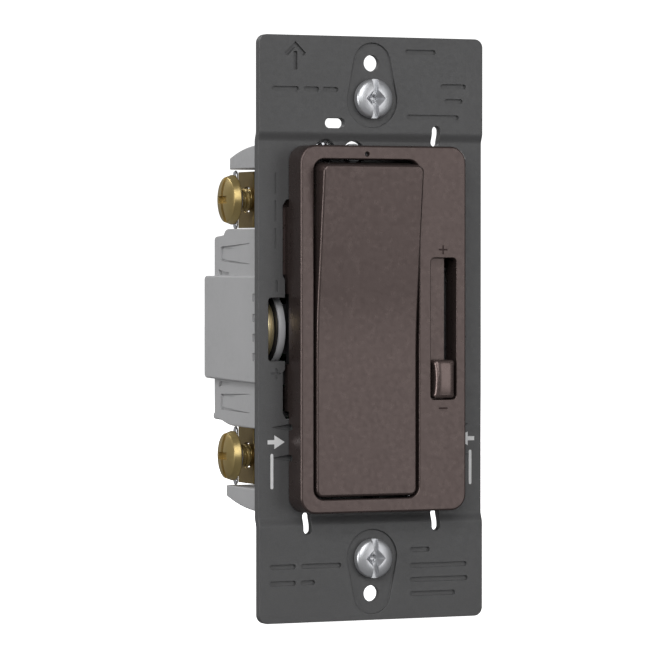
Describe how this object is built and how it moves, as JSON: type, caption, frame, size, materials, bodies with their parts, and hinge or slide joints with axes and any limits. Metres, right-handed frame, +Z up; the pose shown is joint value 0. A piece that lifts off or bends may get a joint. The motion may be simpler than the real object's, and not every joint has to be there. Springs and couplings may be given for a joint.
{
  "type": "dimmer slide switch",
  "caption": "Strap-mounted wall dimmer with a tilting rocker, a vertical preset slider, a calibration dial, side screw terminals and a stepped rear housing.",
  "frame": {"origin": "centre of the plane in which the backs of the strap's two ears lie, midway between the two box screws", "axes": "+X to the right seen from the front, +Y into the wall box, +Z up along the strap"},
  "size_m": [0.0448, 0.0371, 0.1064],
  "materials": {
    "strap_paint": "satin powder coat, dark grey",
    "brown_plastic": "fine satin moulded, brown",
    "grey_plastic": "satin moulded, light grey",
    "dial_plastic": "satin moulded, mid grey",
    "black_plastic": "satin moulded, black",
    "brass": "bright, lightly aged",
    "black_brass": "blackened",
    "green_brass": "green dyed",
    "steel": "zinc plated, bright",
    "spring_steel": "drawn wire",
    "clear_plastic": "clear, polished",
    "fibre": "vulcanised fibre",
    "board": "green solder mask",
    "ferrite": "sintered, matt",
    "copper": "enamelled copper wire",
    "film_capacitor_case": "epoxy filled case",
    "disc_coating": "dipped epoxy",
    "plated_washer": "bright plated"
  },
  "bodies": {
    "dimmer_body": {"mounting_strap": "strap_paint", "face_frame": "brown_plastic", "contact_cradle": "brass", "fixed_contact_upper": "brass", "fixed_contact_lower": "brass", "slide_potentiometer": "black_plastic", "calibration_potentiometer": "black_plastic", "switch_deck": "black_plastic", "rear_housing": "grey_plastic", "circuit_board": "board", "choke_core": "ferrite", "choke_winding": "copper", "film_capacitor": "film_capacitor_case", "surge_varistor": "disc_coating", "triac": "black_plastic", "triac_rivet": "steel", "indicator_lens": "clear_plastic", "indicator_lamp": "clear_plastic", "housing_screw_upper": "steel", "housing_screw_lower": "steel", "screw_retainer_upper": "fibre", "screw_retainer_lower": "fibre", "terminal_plate_upper_left": "brass", "terminal_plate_lower_left": "brass", "terminal_plate_upper_right": "brass", "terminal_plate_lower_right": "brass"},
    "rocker": {"rocker_paddle": "brown_plastic", "rocker_plunger": "black_plastic", "rocker_spring": "spring_steel"},
    "contact_arm": {"contact_arm": "brass"},
    "slider": {"slider_knob": "brown_plastic", "slider_wiper": "black_plastic"},
    "calibration_dial": {"calibration_wheel": "dial_plastic", "calibration_disc": "brass"},
    "mounting_screw_upper": {"mounting_screw_upper": "steel"},
    "mounting_screw_lower": {"mounting_screw_lower": "steel"},
    "washer_upper_left": {"terminal_washer_upper_left": "plated_washer"},
    "screw_upper_left": {"terminal_screw_upper_left": "brass"},
    "washer_lower_left": {"terminal_washer_lower_left": "plated_washer"},
    "screw_lower_left": {"terminal_screw_lower_left": "brass"},
    "washer_upper_right": {"terminal_washer_upper_right": "plated_washer"},
    "screw_upper_right": {"terminal_screw_upper_right": "black_brass"},
    "washer_lower_right": {"terminal_washer_lower_right": "plated_washer"},
    "screw_lower_right": {"terminal_screw_lower_right": "green_brass"}
  },
  "joints": [
    {"name": "rocker_tilt", "type": "hinge", "parent": "dimmer_body", "child": "rocker", "pos_m": [0, -0.003, 0], "axis": [1, 0, 0], "range_deg": [-6.3, 0]},
    {"name": "contact_arm_rock", "type": "hinge", "parent": "dimmer_body", "child": "contact_arm", "pos_m": [-0.0034, 0.007, 0], "axis": [1, 0, 0], "range_deg": [0, 6.3]},
    {"name": "slider_travel", "type": "slide", "parent": "dimmer_body", "child": "slider", "axis": [0, 0, 1], "range_m": [0, 0.0178]},
    {"name": "calibration_turn", "type": "hinge", "parent": "dimmer_body", "child": "calibration_dial", "pos_m": [-0.0178, 0.007, 0], "axis": [1, 0, 0], "range_deg": [-135, 135]},
    {"name": "terminal_travel_upper_left", "type": "slide", "parent": "dimmer_body", "child": "washer_upper_left", "axis": [1, 0, 0], "range_m": [0, 0.0014]},
    {"name": "terminal_turn_upper_left", "type": "hinge", "parent": "washer_upper_left", "child": "screw_upper_left", "pos_m": [-0.01996, 0.0165, 0.02365], "axis": [1, 0, 0], "range_deg": [0, 635]},
    {"name": "terminal_travel_lower_left", "type": "slide", "parent": "dimmer_body", "child": "washer_lower_left", "axis": [1, 0, 0], "range_m": [0, 0.0014]},
    {"name": "terminal_turn_lower_left", "type": "hinge", "parent": "washer_lower_left", "child": "screw_lower_left", "pos_m": [-0.01996, 0.0165, -0.0236], "axis": [1, 0, 0], "range_deg": [0, 635]},
    {"name": "terminal_travel_upper_right", "type": "slide", "parent": "dimmer_body", "child": "washer_upper_right", "axis": [-1, 0, 0], "range_m": [0, 0.0014]},
    {"name": "terminal_turn_upper_right", "type": "hinge", "parent": "washer_upper_right", "child": "screw_upper_right", "pos_m": [0.01996, 0.0165, 0.02365], "axis": [-1, 0, 0], "range_deg": [0, 635]},
    {"name": "terminal_travel_lower_right", "type": "slide", "parent": "dimmer_body", "child": "washer_lower_right", "axis": [-1, 0, 0], "range_m": [0, 0.0014]},
    {"name": "terminal_turn_lower_right", "type": "hinge", "parent": "washer_lower_right", "child": "screw_lower_right", "pos_m": [0.01996, 0.0165, -0.0236], "axis": [-1, 0, 0], "range_deg": [0, 635]},
    {"name": "mounting_screw_turn_upper", "type": "hinge", "parent": "dimmer_body", "child": "mounting_screw_upper", "pos_m": [0, -0.0015, 0.04192], "axis": [0, 1, 0], "continuous": true},
    {"name": "mounting_screw_turn_lower", "type": "hinge", "parent": "dimmer_body", "child": "mounting_screw_lower", "pos_m": [0, -0.0015, -0.04192], "axis": [0, 1, 0], "continuous": true}
  ],
  "couplings": [
    {"joint": "contact_arm_rock", "follows": "rocker_tilt", "ratio": -1},
    {"joint": "terminal_turn_upper_left", "follows": "terminal_travel_upper_left", "rad_per_m": 7913.3},
    {"joint": "terminal_turn_lower_left", "follows": "terminal_travel_lower_left", "rad_per_m": 7913.3},
    {"joint": "terminal_turn_upper_right", "follows": "terminal_travel_upper_right", "rad_per_m": 7913.3},
    {"joint": "terminal_turn_lower_right", "follows": "terminal_travel_lower_right", "rad_per_m": 7913.3}
  ]
}
